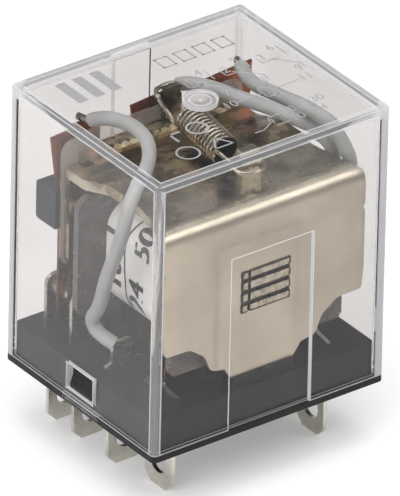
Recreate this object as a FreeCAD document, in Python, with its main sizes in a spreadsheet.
import FreeCAD, Part
import math
import os
import re

# Plug-in relay, three change-over poles. Millimetres.
# X is the width, -Y the front (the side of the big yoke plate), Z is up.
# The origin is the centre of the face that rests on the socket.

os.makedirs("parts", exist_ok=True)
doc = FreeCAD.newDocument("relay")

# ---------------------------------------------------------------- driving dimensions
DIMS = {
    # case
    "cover_w": 31.5, "cover_d": 27.6, "cover_top": 36.0, "wall": 0.9, "roof": 1.0,
    "boss_h": 1.0, "flange_th": 0.8, "block_top": 6.0, "fit_gap": 0.1,
    "strap_half": 3.2, "window_half": 2.4, "window_low": 2.9, "window_high": 6.0,
    "lug_half": 1.95, "label_half": 5.55, "label_top": 23.55, "label_deep": 0.25,
    # blades below the base
    "blade_w": 4.9, "blade_th": 0.5, "tip_z": -6.4, "eye_z": -3.35, "eye_r": 1.3,
    "coil_eye_z": -3.25, "coil_eye_r": 1.45,
    "pole_pitch": 10.3, "nc_y": 9.95, "no_y": 5.2, "com_y": -1.25, "coil_y": -7.9,
    "coil_x": 10.4, "nc_top": 12.6, "no_top": 12.3, "com_top": 9.2, "com_mid_top": 7.9,
    "coil_tag_top": 7.2,
    # magnet
    "sheet_th": 1.2, "plate_y": -12.0, "plate_half": 13.6, "arm_half": 11.6,
    "arm_top": 28.4, "ear_top": 26.8, "ear_end": 8.25, "neck_half": 9.75,
    "core_z": 17.8, "core_left": 3.1, "core_right": 3.5, "core_half_z": 2.6, "pole_r": 4.0,
    "pole_y": 6.5, "pole_th": 1.4, "tube_r": 4.7, "tape_half": 9.2, "tape_low": 10.8,
    "tape_high": 23.6, "tape_corner": 3.4, "tape_th": 0.38,
    "front_cheek_y": -10.7, "rear_cheek_y": 3.75, "cheek_th": 0.9,
    # moving side
    "arma_y": 7.4, "arma_th": 0.9, "arma_half": 11.6, "arma_low": 14.0,
    "arma_high": 25.5, "tail_top": 28.9, "tail_front": 5.0,
    "film_y": 8.32, "film_th": 0.18, "leaf_y": 8.52, "leaf_th": 0.3, "leaf_low": 7.2, "leaf_lean_z": 24.4,
    "bar_half": 12.9, "bar_low": 19.3, "bar_high": 24.1, "bar_back": 11.8,
    "rivet_z": 21.7, "contact_z": 10.5, "contact_gap": 0.06,
    # flexible pieces
    "spring_r": 1.55, "spring_wire_r": 0.27, "lead_r": 0.81, "strand_r": 0.42,
    "coil_wire_r": 0.3,
}
D = dict(DIMS)
sheet = doc.addObject("Spreadsheet::Sheet", "Dims")
for row, (alias, value) in enumerate(DIMS.items(), 1):
    sheet.set(f"A{row}", alias)
    sheet.set(f"B{row}", str(value))
    sheet.setAlias(f"B{row}", alias)
doc.recompute()


# ---------------------------------------------------------------- helpers
def bind(obj, prop, formula):
    """Bind a property to a formula written with the sheet's aliases."""
    obj.setExpression(prop, re.sub(r"[a-z_]\w*", r"Dims.\g<0>", formula))


def place(obj, formulas):
    """Bind the placement's base point to three formulas."""
    for axis, formula in zip("xyz", formulas):
        bind(obj, f"Placement.Base.{axis}", formula)


def box(name, xs, ys, zs):
    """A block between two formulas on each axis."""
    obj = doc.addObject("Part::Box", name)
    for prop, (low, high) in zip(("Length", "Width", "Height"), (xs, ys, zs)):
        bind(obj, prop, f"({high}) - ({low})")
    place(obj, (xs[0], ys[0], zs[0]))
    return obj


def cylinder(name, centre, radius, ys):
    """A cylinder along Y between two formulas; centre holds the X and Z formulas."""
    obj = doc.addObject("Part::Cylinder", name)
    obj.Placement = FreeCAD.Placement(FreeCAD.Vector(), FreeCAD.Rotation(FreeCAD.Vector(1, 0, 0), -90))
    bind(obj, "Radius", radius)
    bind(obj, "Height", f"({ys[1]}) - ({ys[0]})")
    place(obj, (centre[0], ys[0], centre[1]))
    return obj


def fuse(name, shapes):
    """Join several objects into one."""
    obj = doc.addObject("Part::MultiFuse", name)
    obj.Shapes = shapes
    obj.Refine = True
    return obj


def cut(name, base, tools):
    """Take one or more objects away from another."""
    tool = tools[0] if len(tools) == 1 else fuse(name + "_tools", tools)
    obj = doc.addObject("Part::Cut", name)
    obj.Base = base
    obj.Tool = tool
    obj.Refine = True
    return obj


def common(name, shapes):
    """Keep what several objects share."""
    obj = doc.addObject("Part::MultiCommon", name)
    obj.Shapes = shapes
    obj.Refine = True
    return obj


def outline_edges(points):
    """Lines and corner arcs for a closed outline of (u, v) or (u, v, corner radius) points."""
    flat = [FreeCAD.Vector(p[0], p[1], 0) for p in points]
    radii = [p[2] if len(p) > 2 else 0.0 for p in points]
    count = len(flat)
    arcs = []
    ends = []
    for i in range(count):
        corner, radius = flat[i], radii[i]
        before = (flat[i - 1] - corner).normalize()
        after = (flat[(i + 1) % count] - corner).normalize()
        if radius <= 0:
            ends.append((corner, corner))
            continue
        angle = before.getAngle(after)
        reach = radius / math.tan(angle / 2)
        first, last = corner + before * reach, corner + after * reach
        bisector = (before + after).normalize()
        middle = corner + bisector * (radius / math.sin(angle / 2) - radius)
        arcs.append(Part.Arc(first, middle, last))
        ends.append((first, last))
    lines = []
    for i in range(count):
        start, stop = ends[i][1], ends[(i + 1) % count][0]
        if start.distanceToPoint(stop) > 1e-6:
            lines.append(Part.LineSegment(start, stop))
    return lines + arcs


def prism(name, plane, points, span, holes=()):
    """Pad an outline drawn on an origin plane between two formulas along the plane's normal."""
    body = doc.addObject("PartDesign::Body", name)
    sketch = body.newObject("Sketcher::SketchObject", name + "_sketch")
    support = [f for f in body.Origin.OriginFeatures if f.Role == plane + "_Plane"][0]
    sketch.AttachmentSupport = (support, [""])
    sketch.MapMode = "FlatFace"
    sketch.addGeometry(outline_edges(points), False)
    for u, v, radius in holes:
        sketch.addGeometry(Part.Circle(FreeCAD.Vector(u, v, 0), FreeCAD.Vector(0, 0, 1), radius), False)
    pad = body.newObject("PartDesign::Pad", name + "_pad")
    pad.Profile = sketch
    bind(pad, "Length", f"({span[1]}) - ({span[0]})")
    # the XZ plane's normal points to -Y
    pad.Reversed = plane == "XZ"
    body.Tip = pad
    bind(body, "Placement.Base." + {"XY": "z", "XZ": "y", "YZ": "x"}[plane], span[0])
    return body


def rod(name, points, radius, coiled=False):
    """A round wire swept along a smooth curve through the points."""
    vectors = [FreeCAD.Vector(*p) for p in points]
    curve = Part.BSplineCurve()
    curve.interpolate(vectors)
    path = doc.addObject("Part::Feature", name + "_path")
    path.Shape = curve.toShape()
    ring = doc.addObject("Part::Circle", name + "_ring")
    bind(ring, "Radius", radius)
    tangent = curve.tangent(curve.FirstParameter)[0]
    ring.Placement = FreeCAD.Placement(vectors[0], FreeCAD.Rotation(FreeCAD.Vector(0, 0, 1), tangent))
    sweep = doc.addObject("Part::Sweep", name)
    sweep.Sections = [ring]
    sweep.Spine = (path, ["Edge1"])
    sweep.Solid = True
    sweep.Frenet = coiled
    return sweep


def rectangle(half_u, low_v, high_v, radius=0.0):
    """Outline of a rectangle centred on u, with rounded corners."""
    corners = [(-half_u, low_v), (half_u, low_v), (half_u, high_v), (-half_u, high_v)]
    return [(u, v, radius) for u, v in corners]


def mirrored(points):
    """Close a right-hand half outline with its mirror image."""
    return points + [(-p[0],) + tuple(p[1:]) for p in reversed(points)]


nodes = {}


def node(obj):
    """Register a finished piece under its own name."""
    obj.Label = obj.Name
    nodes[obj.Name] = obj
    return obj


POLES = (-D["pole_pitch"], 0.0, D["pole_pitch"])
POLE_X = ("-pole_pitch", "0", "pole_pitch")

# ---------------------------------------------------------------- blades and their contacts
half_blade = D["blade_w"] / 2
tip_cut = 1.1


def blade_outline(centre, top, top_half, shoulder, tag_shift=0.0):
    """A plug blade: chamfered tip, full width to the shoulder, then a tag with round corners."""
    right = [
        (half_blade - tip_cut, D["tip_z"]),
        (half_blade, D["tip_z"] + tip_cut),
        (half_blade, shoulder),
    ]
    if top_half < half_blade:
        right.append((top_half, shoulder + 0.4))
    right.append((top_half, top, min(1.2, 0.8 * top_half)))
    outline = []
    for u, v, *corner in mirrored(right):
        shift = tag_shift if v > shoulder else 0.0
        outline.append((centre + u + shift, v, *corner))
    return outline


def span_y(middle):
    """Thickness of a blade about its middle formula."""
    return (f"{middle} - blade_th / 2", f"{middle} + blade_th / 2")


shank_r = 0.7
blades = []
for i, (x, x_formula) in enumerate(zip(POLES, POLE_X), 1):
    eye = (x, D["eye_z"], D["eye_r"])
    rivet_hole = (x, D["contact_z"], shank_r)
    nc = blade_outline(x, D["nc_top"], half_blade, 8.0)
    no = blade_outline(x, D["no_top"], half_blade, 8.0)
    top = D["com_mid_top"] if i == 2 else D["com_top"]
    com = blade_outline(x, top, 1.6, D["block_top"] + 0.3)
    blades.append(node(prism(f"nc_terminal_{i}", "XZ", nc, span_y("nc_y"), [eye, rivet_hole])))
    blades.append(node(prism(f"no_terminal_{i}", "XZ", no, span_y("no_y"), [eye, rivet_hole])))
    blades.append(node(prism(f"com_terminal_{i}", "XZ", com, span_y("com_y"), [eye])))

    centre = (x_formula, "contact_z")
    nc_front = "nc_y - blade_th / 2"
    nc_back = "nc_y + blade_th / 2"
    nc_face = "leaf_y + leaf_th + 0.45 + contact_gap"
    node(fuse(f"nc_contact_{i}", [
        cylinder(f"nc_head_{i}", centre, "1.4", (nc_face, nc_front)),
        cylinder(f"nc_shank_{i}", centre, "0.7", (nc_front, nc_back)),
        cylinder(f"nc_tail_{i}", centre, "1.1", (nc_back, nc_back + " + 0.3")),
    ]))
    no_front = "no_y - blade_th / 2"
    no_back = "no_y + blade_th / 2"
    node(fuse(f"no_contact_{i}", [
        cylinder(f"no_head_{i}", centre, "1.4", (no_back, no_back + " + 0.98")),
        cylinder(f"no_shank_{i}", centre, "0.7", (no_front, no_back)),
        cylinder(f"no_tail_{i}", centre, "1.1", (no_front + " - 0.2", no_front)),
    ]))

for i, side in ((1, -1), (2, 1)):
    outline = blade_outline(D["coil_y"], D["coil_tag_top"], 0.9, D["block_top"] + 0.1, tag_shift=0.9)
    middle = ("-" if side < 0 else "") + "coil_x"
    span = (f"{middle} - blade_th / 2", f"{middle} + blade_th / 2")
    coil_eye = (D["coil_y"], D["coil_eye_z"], D["coil_eye_r"])
    blades.append(node(prism(f"coil_terminal_{i}", "YZ", outline, span, [coil_eye])))

# ---------------------------------------------------------------- cover
half_w, half_d = D["cover_w"] / 2, D["cover_d"] / 2
cover_low = "boss_h + flange_th"
shell_block = prism("shell_block", "XY", rectangle(half_w, -half_d, half_d, 0.6),
                    (cover_low, "cover_top"))
doc.recompute()
shell = doc.addObject("Part::Fillet", "shell_rounded")
shell.Base = shell_block
shell.Edges = [
    (k, 0.35, 0.35) for k, edge in enumerate(shell_block.Shape.Edges, 1)
    if all(abs(v.Z - D["cover_top"]) < 1e-6 for v in edge.Vertexes)
]
inner_w, inner_d = half_w - D["wall"], half_d - D["wall"]
cavity = prism("cavity", "XY", rectangle(inner_w, -inner_d, inner_d, 0.5), ("0", "cover_top - roof"))
straps = []
windows = []
for side, tag in ((-1, "left"), (1, "right")):
    inner, outer = "cover_w / 2 - wall", "cover_w / 2"
    xs = (f"-({outer})", f"-({inner})") if side < 0 else (inner, outer)
    straps.append(box(f"strap_{tag}", xs, ("-strap_half", "strap_half"), ("boss_h", cover_low + " + 1")))
    reach = ("-cover_w", f"-({inner}) + 0.5") if side < 0 else (inner + " - 0.5", "cover_w")
    windows.append(box(f"window_{tag}", reach, ("-window_half", "window_half"),
                       ("window_low", "window_high")))
label_recess = box("label_recess", ("-label_half", "label_half"),
                   ("-cover_d / 2 - 1", "-cover_d / 2 + label_deep"), ("0", "label_top"))
rear_recess = box("rear_recess", ("-2.0", "3.05"),
                  ("cover_d / 2 - label_deep", "cover_d / 2 + 1"), ("0", "cover_top - 2"))


def upright(name, radius, zs):
    """A cylinder along Z on the cover's axis."""
    obj = doc.addObject("Part::Cylinder", name)
    bind(obj, "Radius", radius)
    bind(obj, "Height", f"({zs[1]}) - ({zs[0]})")
    bind(obj, "Placement.Base.z", zs[0])
    return obj


shell_full = fuse("shell_full", [shell] + straps)
shell_hollow = cut("shell_hollow", shell_full, [cavity, label_recess, rear_recess] + windows)
gate_boss = upright("gate_boss", "1.95", ("cover_top - roof - 0.6", "cover_top - roof / 2"))
gate_dish = upright("gate_dish", "1.25", ("cover_top - roof - 1", "cover_top - roof - 0.48"))
node(cut("cover", fuse("shell_bossed", [shell_hollow, gate_boss]), [gate_dish]))

# ---------------------------------------------------------------- base
flange_half_w, flange_half_d = half_w, half_d
notch = D["strap_half"] + 0.1
block_half_x, block_half_y = inner_w - D["fit_gap"], inner_d - D["fit_gap"]
flange_outline = mirrored([
    (flange_half_w, -flange_half_d, 0.6),
    (flange_half_w, -notch),
    (block_half_x, -notch),
    (block_half_x, notch),
    (flange_half_w, notch),
    (flange_half_w, flange_half_d, 0.6),
])
base_parts = [
    prism("base_boss", "XY", rectangle(13.8, -12.0, 12.0, 0.8), ("0", "boss_h")),
    prism("base_flange", "XY", flange_outline, ("boss_h", cover_low)),
    prism("base_block", "XY", rectangle(block_half_x, -block_half_y, block_half_y, 0.5),
          (cover_low, "block_top")),
    box("yoke_seat", ("-4.15", "4.15"), ("plate_y - 0.3", "plate_y + sheet_th + 0.3"),
        ("block_top - 0.5", "7.34")),
]
for tag, ys in (("front", ("-9.2", "-7.4")), ("rear", ("1.0", "2.6"))):
    base_parts.append(box(f"coil_rest_{tag}", ("-5.5", "5.5"), ys, ("block_top - 0.5", "tape_low - 0.05")))
for tag, x in (("left", -5.15), ("right", 5.15)):
    base_parts.append(box(f"barrier_{tag}", (str(x - 0.4), str(x + 0.4)), ("5.6", "12.4"),
                          ("block_top - 0.5", "13.2")))
lug_root = block_half_x - 0.3
lug = [(lug_root, 3.1), (15.6, 3.1), (15.6, 3.5), (block_half_x + 0.1, 5.5), (lug_root, 5.5)]
base_parts.append(prism("lug_right", "XZ", lug, ("-lug_half", "lug_half")))
base_parts.append(prism("lug_left", "XZ", [(-x, z) for x, z in lug], ("-lug_half", "lug_half")))
base_full = fuse("base_full", base_parts)
under_pocket = prism("under_pocket", "XY", rectangle(5.0, -9.5, -4.0, 0.8), ("-1", "0.6"))
node(cut("base", base_full, blades + [under_pocket]))

# ---------------------------------------------------------------- core and yoke
plate_back = "plate_y + sheet_th"
core_shaft = box("core_shaft", ("-core_left", "core_right"), (plate_back, "pole_y - pole_th"),
                 ("core_z - core_half_z", "core_z + core_half_z"))
core_tenon = box("core_tenon", ("-core_left", "core_right"), ("plate_y - 0.15", plate_back),
                 ("core_z - core_half_z", "core_z + core_half_z"))
pole_face = cylinder("pole_face", ("0", "core_z"), "pole_r", ("pole_y - pole_th", "pole_y"))
grooves = [box("stake_groove_side", ("-2.3", "-1.9"), ("plate_y - 1", "plate_y + 0.15"),
               ("core_z - 4", "core_z + 4"))]
for k in range(3):
    low = D["core_z"] - D["core_half_z"] + 0.85 + k * 1.45
    grooves.append(box(f"stake_groove_{k + 1}", ("-4", "4"), ("plate_y - 1", "plate_y + 0.15"),
                       (str(round(low, 3)), str(round(low + 0.6, 3)))))
node(cut("core", fuse("core_full", [core_shaft, core_tenon, pole_face]), grooves))

y0, t = D["plate_y"], D["sheet_th"]
top, ear = D["arm_top"], D["ear_top"]
sheet_profile = [
    (y0, 7.34), (y0, top, 2.1), (0.2, top, 1.0), (5.0, ear, 1.0), (D["ear_end"], ear),
    (D["ear_end"], ear - t), (4.75, ear - t, 1.0), (-0.05, top - t, 1.0), (y0 + t, top - t, 0.9),
    (y0 + t, 7.34),
]
bent_sheet = prism("bent_sheet", "YZ", sheet_profile, ("-plate_half", "plate_half"))
front_outline = mirrored([
    (4.15, 7.34), (4.9, 8.3), (5.2, 8.85, 0.4), (7.1, 9.2, 1.2), (8.0, 11.4, 1.6), (10.0, 12.9, 1.5),
    (13.35, 13.0, 0.4), (13.6, 15.4), (13.6, 23.0), (13.4, 23.1), (13.4, 23.6), (13.6, 23.7),
    (13.6, 26.3),
])
front_mask = prism("front_mask", "XZ", front_outline, ("plate_y - 1", plate_back + " + 0.3"))
top_outline = mirrored([
    (13.6, -13.0), (13.6, -11.4), (12.8, -10.75), (12.4, -9.9), (11.6, -4.9, 0.8),
    (11.6, 8.6), (D["neck_half"] + 0.2, 8.6), (D["neck_half"] + 0.2, 6.9, 0.4),
])
top_mask = prism("top_mask", "XY", top_outline, ("24.5", "30"))
yoke_blank = common("yoke_blank", [bent_sheet, fuse("yoke_masks", [front_mask, top_mask])])
tab_profile = [(-0.4, top - 0.6), (2.2, top - 0.6), (2.2, 29.8), (1.9, 30.0), (1.9, 30.6), (2.2, 30.8),
               (2.2, 32.0, 0.5), (-0.4, 32.0, 0.5), (-0.4, 30.8), (-0.1, 30.6), (-0.1, 30.0), (-0.4, 29.8)]
spring_tab = prism("spring_tab", "XZ", tab_profile, ("-8", "-7"))
tab_window = box("tab_window", ("-0.4", "2.2"), ("-7", "-3.6"), ("25", "30"))
window_cut = cut("yoke_windowed", yoke_blank, [tab_window])
tenon_hole = box("tenon_hole", ("-core_left", "core_right"), ("plate_y - 2", plate_back + " + 1"),
                 ("core_z - core_half_z", "core_z + core_half_z"))
node(cut("yoke", fuse("yoke_tabbed", [window_cut, spring_tab]), [tenon_hole]))

# ---------------------------------------------------------------- bobbin and winding
front_cheek = ("front_cheek_y", "front_cheek_y + cheek_th")
rear_cheek = ("rear_cheek_y", "rear_cheek_y + cheek_th")
bobbin_full = fuse("bobbin_full", [
    cylinder("bobbin_tube", ("0", "core_z"), "tube_r", ("front_cheek_y", "rear_cheek_y + cheek_th")),
    prism("front_cheek", "XZ", rectangle(11.7, 9.3, 26.6, 0.8), front_cheek),
    prism("rear_cheek", "XZ", rectangle(13.0, 9.9, 25.2, 1.8), rear_cheek),
])
core_space = box("core_space", ("-core_left - 0.05", "core_right + 0.05"), ("-20", "20"),
                 ("core_z - core_half_z - 0.05", "core_z + core_half_z + 0.05"))
node(cut("bobbin", bobbin_full, [core_space]))
wind_span = ("front_cheek_y + cheek_th + 0.05", "rear_cheek_y - 0.05")
tape_span = ("front_cheek_y + cheek_th + 0.3", "rear_cheek_y - 0.05")


def wound(name, inset, ys):
    """A block round the bobbin with the winding's rounded square outline, inset from the tape's."""
    half, low, high = D["tape_half"] - inset, D["tape_low"] + inset, D["tape_high"] - inset
    return prism(name, "XZ", rectangle(half, low, high, D["tape_corner"] - inset), ys)


winding = wound("winding_outer", D["tape_th"] + 0.02, wind_span)
node(cut("coil_winding", winding,
         [cylinder("winding_bore", ("0", "core_z"), "tube_r + 0.03", ("-20", "20"))]))
node(cut("coil_tape", wound("tape_outer", 0.0, tape_span), [wound("tape_bore", D["tape_th"], ("-20", "20"))]))

# ---------------------------------------------------------------- armature
arma_back = "arma_y + arma_th"
plate_outline = mirrored([
    (D["arma_half"], D["arma_low"], 1.6), (D["arma_half"], D["arma_high"]),
    (D["neck_half"], D["arma_high"]), (D["neck_half"], D["arma_high"] + 0.3),
])
rivet_holes = [(x, D["rivet_z"], shank_r) for x in POLES]
hang_plate = prism("hang_plate", "XZ", plate_outline, ("arma_y", arma_back), rivet_holes)
ay, at, tt = D["arma_y"], D["arma_th"], D["tail_top"]
tail_profile = [
    (ay, 25.3), (ay + at, 25.3), (ay + at, tt, 1.5), (D["tail_front"] + 0.5, tt, 0.4),
    (D["tail_front"], tt - 0.35), (D["tail_front"], tt - at), (ay, tt - at, 0.6),
]
tail = prism("tail", "YZ", tail_profile, ("-neck_half", "neck_half"))
hook_gap = box("hook_gap", ("0.75", "3.35"), ("tail_front - 1", "arma_y"), ("27", "30"))
hook_tab_outline = [
    (0.9, 27.0), (3.0, 27.0), (3.0, 31.2), (2.75, 31.35), (2.75, 31.85), (3.0, 31.95),
    (3.0, 32.25, 0.15), (0.9, 32.25, 0.15), (0.9, 31.95), (1.15, 31.85), (1.15, 31.35), (0.9, 31.2),
]
hook_tab = prism("hook_tab", "XZ", hook_tab_outline, ("arma_y", arma_back))
tail_slotted = cut("tail_slotted", tail, [hook_gap])
node(fuse("armature", [hang_plate, tail_slotted, hook_tab]))

film_outline = rectangle(12.1, 14.2, 29.9, 1.6)
node(prism("insulating_film", "XZ", film_outline, ("film_y", "film_y + film_th"), rivet_holes))

# ---------------------------------------------------------------- moving blades, bar and rivets
leaf_back = "leaf_y + leaf_th"
ly, lt = D["leaf_y"], D["leaf_th"]
lean = 0.62
leaf_profile = [
    (ly, D["leaf_low"] - 0.5), (ly + lt, D["leaf_low"] - 0.5), (ly + lt, D["leaf_lean_z"], 4.0),
    (ly + lt + lean, 31.2), (ly + lean, 31.2), (ly, D["leaf_lean_z"], 4.0),
]
for i, (x, x_formula) in enumerate(zip(POLES, POLE_X), 1):
    sheet_span = (f"{x_formula} - 4", f"{x_formula} + 4")
    leaf_sheet = prism(f"leaf_sheet_{i}", "YZ", leaf_profile, sheet_span)
    leaf_outline = [
        (x - 1.8, 7.2, 0.5), (x + 1.8, 7.2, 0.5), (x + 1.8, 24.6), (x + 3.0, 25.6),
        (x + 3.6, 30.95), (x - 2.65, 30.5), (x - 2.3, 25.6), (x - 1.8, 24.6),
    ]
    leaf_holes = [(x, D["rivet_z"], shank_r), (x, D["contact_z"], shank_r)]
    leaf_mask = prism(f"leaf_mask_{i}", "XZ", leaf_outline, ("leaf_y - 2", "leaf_y + 3"), leaf_holes)
    node(common(f"moving_blade_{i}", [leaf_sheet, leaf_mask]))
    centre = (x_formula, "contact_z")
    node(fuse(f"moving_contact_{i}", [
        cylinder(f"mc_front_{i}", centre, "1.3", ("leaf_y - 0.95", "leaf_y")),
        cylinder(f"mc_shank_{i}", centre, "0.7", ("leaf_y", leaf_back)),
        cylinder(f"mc_back_{i}", centre, "1.3", (leaf_back, leaf_back + " + 0.45")),
    ]))
    centre = (x_formula, "rivet_z")
    node(fuse(f"carrier_rivet_{i}", [
        cylinder(f"rivet_front_{i}", centre, "1.2", ("arma_y - 0.4", "arma_y")),
        cylinder(f"rivet_shank_{i}", centre, "0.7", ("arma_y", "bar_back")),
        cylinder(f"rivet_back_{i}", centre, "1.2", ("bar_back", "bar_back + 0.3")),
    ]))
bar_front = D["leaf_y"] + D["leaf_th"]
bar_profile = [
    (bar_front, D["bar_low"]), (D["bar_back"], D["bar_low"], 0.4), (D["bar_back"], D["bar_high"], 0.4),
    (bar_front, D["bar_high"]),
]
bar_full = prism("bar_full", "YZ", bar_profile, ("-bar_half", "bar_half"))
bar_holes = [cylinder(f"bar_hole_{i}", (x_formula, "rivet_z"), "0.7", ("0", "20"))
             for i, x_formula in enumerate(POLE_X, 1)]
# each end of the bar reaches forward round the edge of its blade
lip_span = (("leaf_y - 0.3", "bar_back - 1"), ("bar_low", "bar_high"))
bar_lips = [
    box("lip_left", ("-bar_half", "-bar_half + 0.65"), *lip_span),
    box("lip_right", ("bar_half - 0.65", "bar_half"), *lip_span),
]
node(cut("contact_carrier", fuse("bar_lipped", [bar_full] + bar_lips), bar_holes))

# ---------------------------------------------------------------- return spring
front_end = FreeCAD.Vector(0.2, -4.43, 30.4)
rear_end = FreeCAD.Vector(0.2, 2.19, 31.46)
axis = (rear_end - front_end).normalize()
side_dir = FreeCAD.Vector(-1, 0, 0)
side_dir = (side_dir - axis * side_dir.dot(axis)).normalize()
up_dir = side_dir.cross(axis)
turns, per_turn = 12, 12
coil_points = []
for k in range(turns * per_turn + 1):
    angle = 2 * math.pi * k / per_turn
    along = (rear_end - front_end) * (k / (turns * per_turn))
    offset = side_dir * math.cos(angle) + up_dir * math.sin(angle)
    coil_points.append(tuple(front_end + along + offset * D["spring_r"]))
front_hook = [(2.55, -7.0, 30.3), (2.6, -7.9, 30.3), (1.9, -8.6, 30.3), (0.6, -8.7, 30.3), (-0.6, -8.3, 30.4),
              (-1.1, -7.4, 30.7), (-1.35, -6.3, 31.0), (-1.42, -5.3, 31.15), (-1.42, -4.75, 30.95)]
rear_hook = [(-1.33, 2.6, 31.0), (-1.2, 3.3, 30.95), (-1.05, 4.2, 31.3), (-1.0, 5.15, 31.55), (-0.6, 6.5, 31.6),
             (-0.1, 7.75, 31.7), (0.5, 8.75, 31.7), (1.5, 9.05, 31.7), (2.5, 9.05, 31.7), (3.1, 8.8, 31.7)]
node(rod("return_spring", front_hook + coil_points + rear_hook, "spring_wire_r", coiled=True))

# ---------------------------------------------------------------- leads
LEADS = {
    1: [(-9.0, 7.95, 31.3), (-8.25, 6.6, 32.0), (-7.6, 5.1, 32.3), (-7.05, 2.8, 32.4), (-7.2, 0.6, 32.3),
        (-8.1, -1.6, 32.1), (-9.2, -3.1, 31.8), (-10.3, -4.1, 31.4), (-12.0, -5.2, 30.6),
        (-13.2, -5.8, 29.4), (-13.8, -5.95, 27.8), (-13.95, -5.4, 25.5), (-13.95, -4.6, 23.2),
        (-13.9, -2.5, 17.9), (-13.85, -0.9, 13.6), (-13.7, -0.1, 12.2), (-13.45, -0.4, 11.1),
        (-12.95, -1.5, 10.3), (-12.4, -2.4, 9.8)],
    2: [(4.4, 9.8, 30.65), (4.35, 8.8, 31.2), (4.45, 7.8, 31.65), (4.95, 5.6, 32.2), (5.3, 4.6, 32.3),
        (5.95, 2.2, 32.4), (6.8, -0.05, 32.4), (7.8, -2.2, 32.3), (8.85, -3.95, 31.9),
        (10.25, -5.3, 31.15), (11.5, -6.15, 30.35), (12.85, -6.5, 28.6), (13.35, -6.4, 27.0),
        (13.3, -5.9, 23.5), (12.7, -5.1, 18.5), (11.4, -4.4, 13.3), (9.8, -4.0, 9.9), (7.8, -3.7, 7.9),
        (5.2, -3.1, 7.35), (2.6, -2.5, 7.3)],
    3: [(11.7, 8.2, 31.25), (10.6, 5.8, 31.6), (9.85, 3.1, 32.0), (9.7, 0.5, 32.5), (10.1, -2.4, 32.75),
        (10.4, -5.3, 33.05), (11.05, -7.1, 32.6), (11.85, -8.1, 31.8), (13.25, -8.65, 29.2),
        (13.85, -8.7, 27.5), (13.95, -8.4, 25.0), (13.9, -7.6, 20.0), (13.8, -6.0, 15.2),
        (13.7, -4.4, 12.2), (13.3, -3.0, 10.5), (12.5, -2.4, 9.7)],
}
ROOT_STRANDS = {
    1: [(-12.33, -2.52, 9.74), (-11.9, -2.55, 9.4), (-11.2, -2.25, 8.9), (-10.3, -2.05, 8.3)],
    2: [(2.45, -2.47, 7.3), (1.8, -2.3, 7.25), (0.6, -2.1, 7.2), (-0.7, -2.05, 7.2)],
    3: [(12.4, -2.32, 9.6), (12.0, -2.3, 9.35), (11.2, -2.15, 8.9), (10.2, -2.05, 8.3)],
}
BLADE_STRANDS = {
    1: [(-9.12, 8.15, 31.28), (-9.35, 8.55, 31.35), (-9.5, 9.0, 31.4), (-9.6, 9.45, 31.4)],
    2: [(4.41, 10.05, 30.5), (4.2, 10.45, 30.25), (3.4, 10.6, 30.0), (2.6, 10.25, 29.7), (2.1, 9.95, 29.3)],
    3: [(11.8, 8.4, 31.25), (11.9, 8.75, 31.35), (12.0, 9.15, 31.42), (12.0, 9.5, 31.42)],
}
for i, points in LEADS.items():
    node(rod(f"lead_wire_{i}", points, "lead_r"))
    node(rod(f"lead_end_{i}", ROOT_STRANDS[i], "strand_r"))
    node(rod(f"lead_tail_{i}", BLADE_STRANDS[i], "strand_r"))

COIL_WIRES = {
    1: [(-7.35, -9.45, 10.75), (-8.5, -8.7, 10.5), (-9.4, -7.8, 9.0), (-9.8, -7.1, 6.9)],
    2: [(7.35, -9.45, 10.75), (8.5, -8.7, 10.5), (9.4, -7.8, 9.0), (9.8, -7.1, 6.9)],
}
for i, points in COIL_WIRES.items():
    node(rod(f"coil_lead_{i}", points, "coil_wire_r"))

# ---------------------------------------------------------------- check and write
doc.recompute()
for obj in doc.Objects:
    if "Invalid" in obj.State or "Error" in obj.State:
        raise RuntimeError(f"{obj.Name} failed: {obj.State}")
for name, obj in nodes.items():
    shape = obj.Shape
    if shape.isNull() or not shape.isValid() or not shape.Solids:
        raise RuntimeError(f"{name} has no valid solid")
    shape.exportStep(f"parts/{name}.step")
    print(name, len(shape.Solids), round(shape.Volume, 2))
